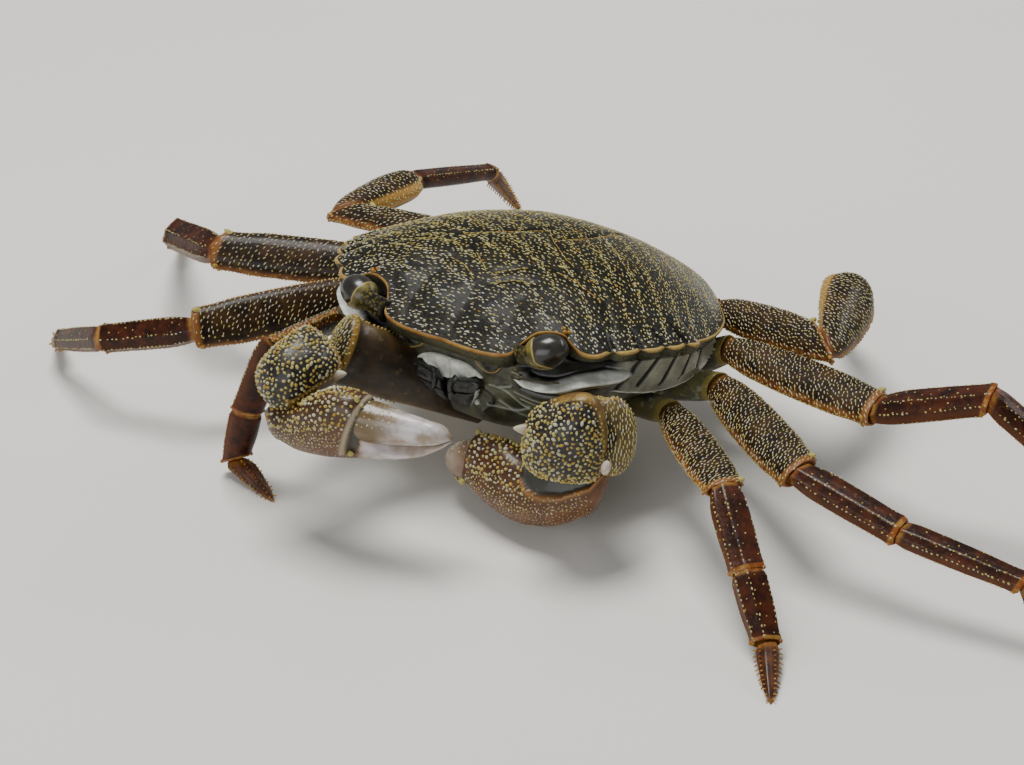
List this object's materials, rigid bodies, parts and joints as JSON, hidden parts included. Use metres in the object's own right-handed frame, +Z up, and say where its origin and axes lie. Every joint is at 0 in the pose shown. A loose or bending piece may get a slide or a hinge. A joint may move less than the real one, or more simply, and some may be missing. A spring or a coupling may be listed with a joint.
{
  "type": "shore crab",
  "caption": "Life-size grapsid shore crab, standing: broad domed shell with lobed sides, stalked eyes, claws folded before the mouth and flat spread walking legs.",
  "frame": {"origin": "on the floor under the middle of the crab's outline seen from above", "axes": "+X to the crab's left across the spread of its legs, -Y forward, +Z up, with the tips of the walking legs on z = 0"},
  "size_m": [0.168, 0.1028, 0.0293],
  "materials": {
    "shell": "wet dark olive shell with pale dashes",
    "face": "wet grey-green face and flanks",
    "belly": "pale buff breastplate and tail",
    "mouth": "wet black mouth covers",
    "eye": "glassy grey-brown eye",
    "stalk": "yellow-green stalk with dark spots",
    "feeler": "smooth brown feeler",
    "hip": "dull yellow-green hip joint",
    "thigh": "wet dark brown, cream scale marks",
    "shin": "wet maroon brown, pale dotted ridges",
    "toe": "orange-red with yellow bristles",
    "arm": "brown-olive with yellow edges",
    "wrist": "blue-black with round golden granules",
    "palm": "orange-brown with pale granules",
    "finger": "glossy lavender white"
  },
  "bodies": {
    "root": {"carapace": "shell", "underside": "face", "abdomen": "belly", "maxilliped_left": "mouth", "eye_left": "eye", "eyestalk_left": "stalk", "antenna_left": "feeler", "maxilliped_right": "mouth", "eye_right": "eye", "eyestalk_right": "stalk", "antenna_right": "feeler", "leg2_left_ischium": "hip", "leg2_left_merus": "thigh", "leg2_left_carpus": "shin", "leg2_left_propodus": "shin", "leg2_left_dactylus": "toe", "leg2_right_ischium": "hip", "leg2_right_merus": "thigh", "leg2_right_carpus": "shin", "leg2_right_propodus": "shin", "leg2_right_dactylus": "toe", "leg3_left_ischium": "hip", "leg3_left_merus": "thigh", "leg3_left_carpus": "shin", "leg3_left_propodus": "shin", "leg3_left_dactylus": "toe", "leg3_right_ischium": "hip", "leg3_right_merus": "thigh", "leg3_right_carpus": "shin", "leg3_right_propodus": "shin", "leg3_right_dactylus": "toe", "leg4_left_ischium": "hip", "leg4_left_merus": "thigh", "leg4_left_carpus": "shin", "leg4_left_propodus": "shin", "leg4_left_dactylus": "toe", "leg4_right_ischium": "hip", "leg4_right_merus": "thigh", "leg4_right_carpus": "shin", "leg4_right_propodus": "shin", "leg4_right_dactylus": "toe", "leg5_left_ischium": "hip", "leg5_left_merus": "thigh", "leg5_left_carpus": "shin", "leg5_left_propodus": "shin", "leg5_left_dactylus": "toe", "leg5_right_ischium": "hip", "leg5_right_merus": "thigh", "leg5_right_carpus": "shin", "leg5_right_propodus": "shin", "leg5_right_dactylus": "toe", "claw_left_merus": "arm", "claw_left_carpus": "wrist", "claw_left_palm": "palm", "claw_left_finger": "finger", "claw_right_merus": "arm", "claw_right_carpus": "wrist", "claw_right_palm": "palm", "claw_right_finger": "finger"}
  },
  "joints": []
}
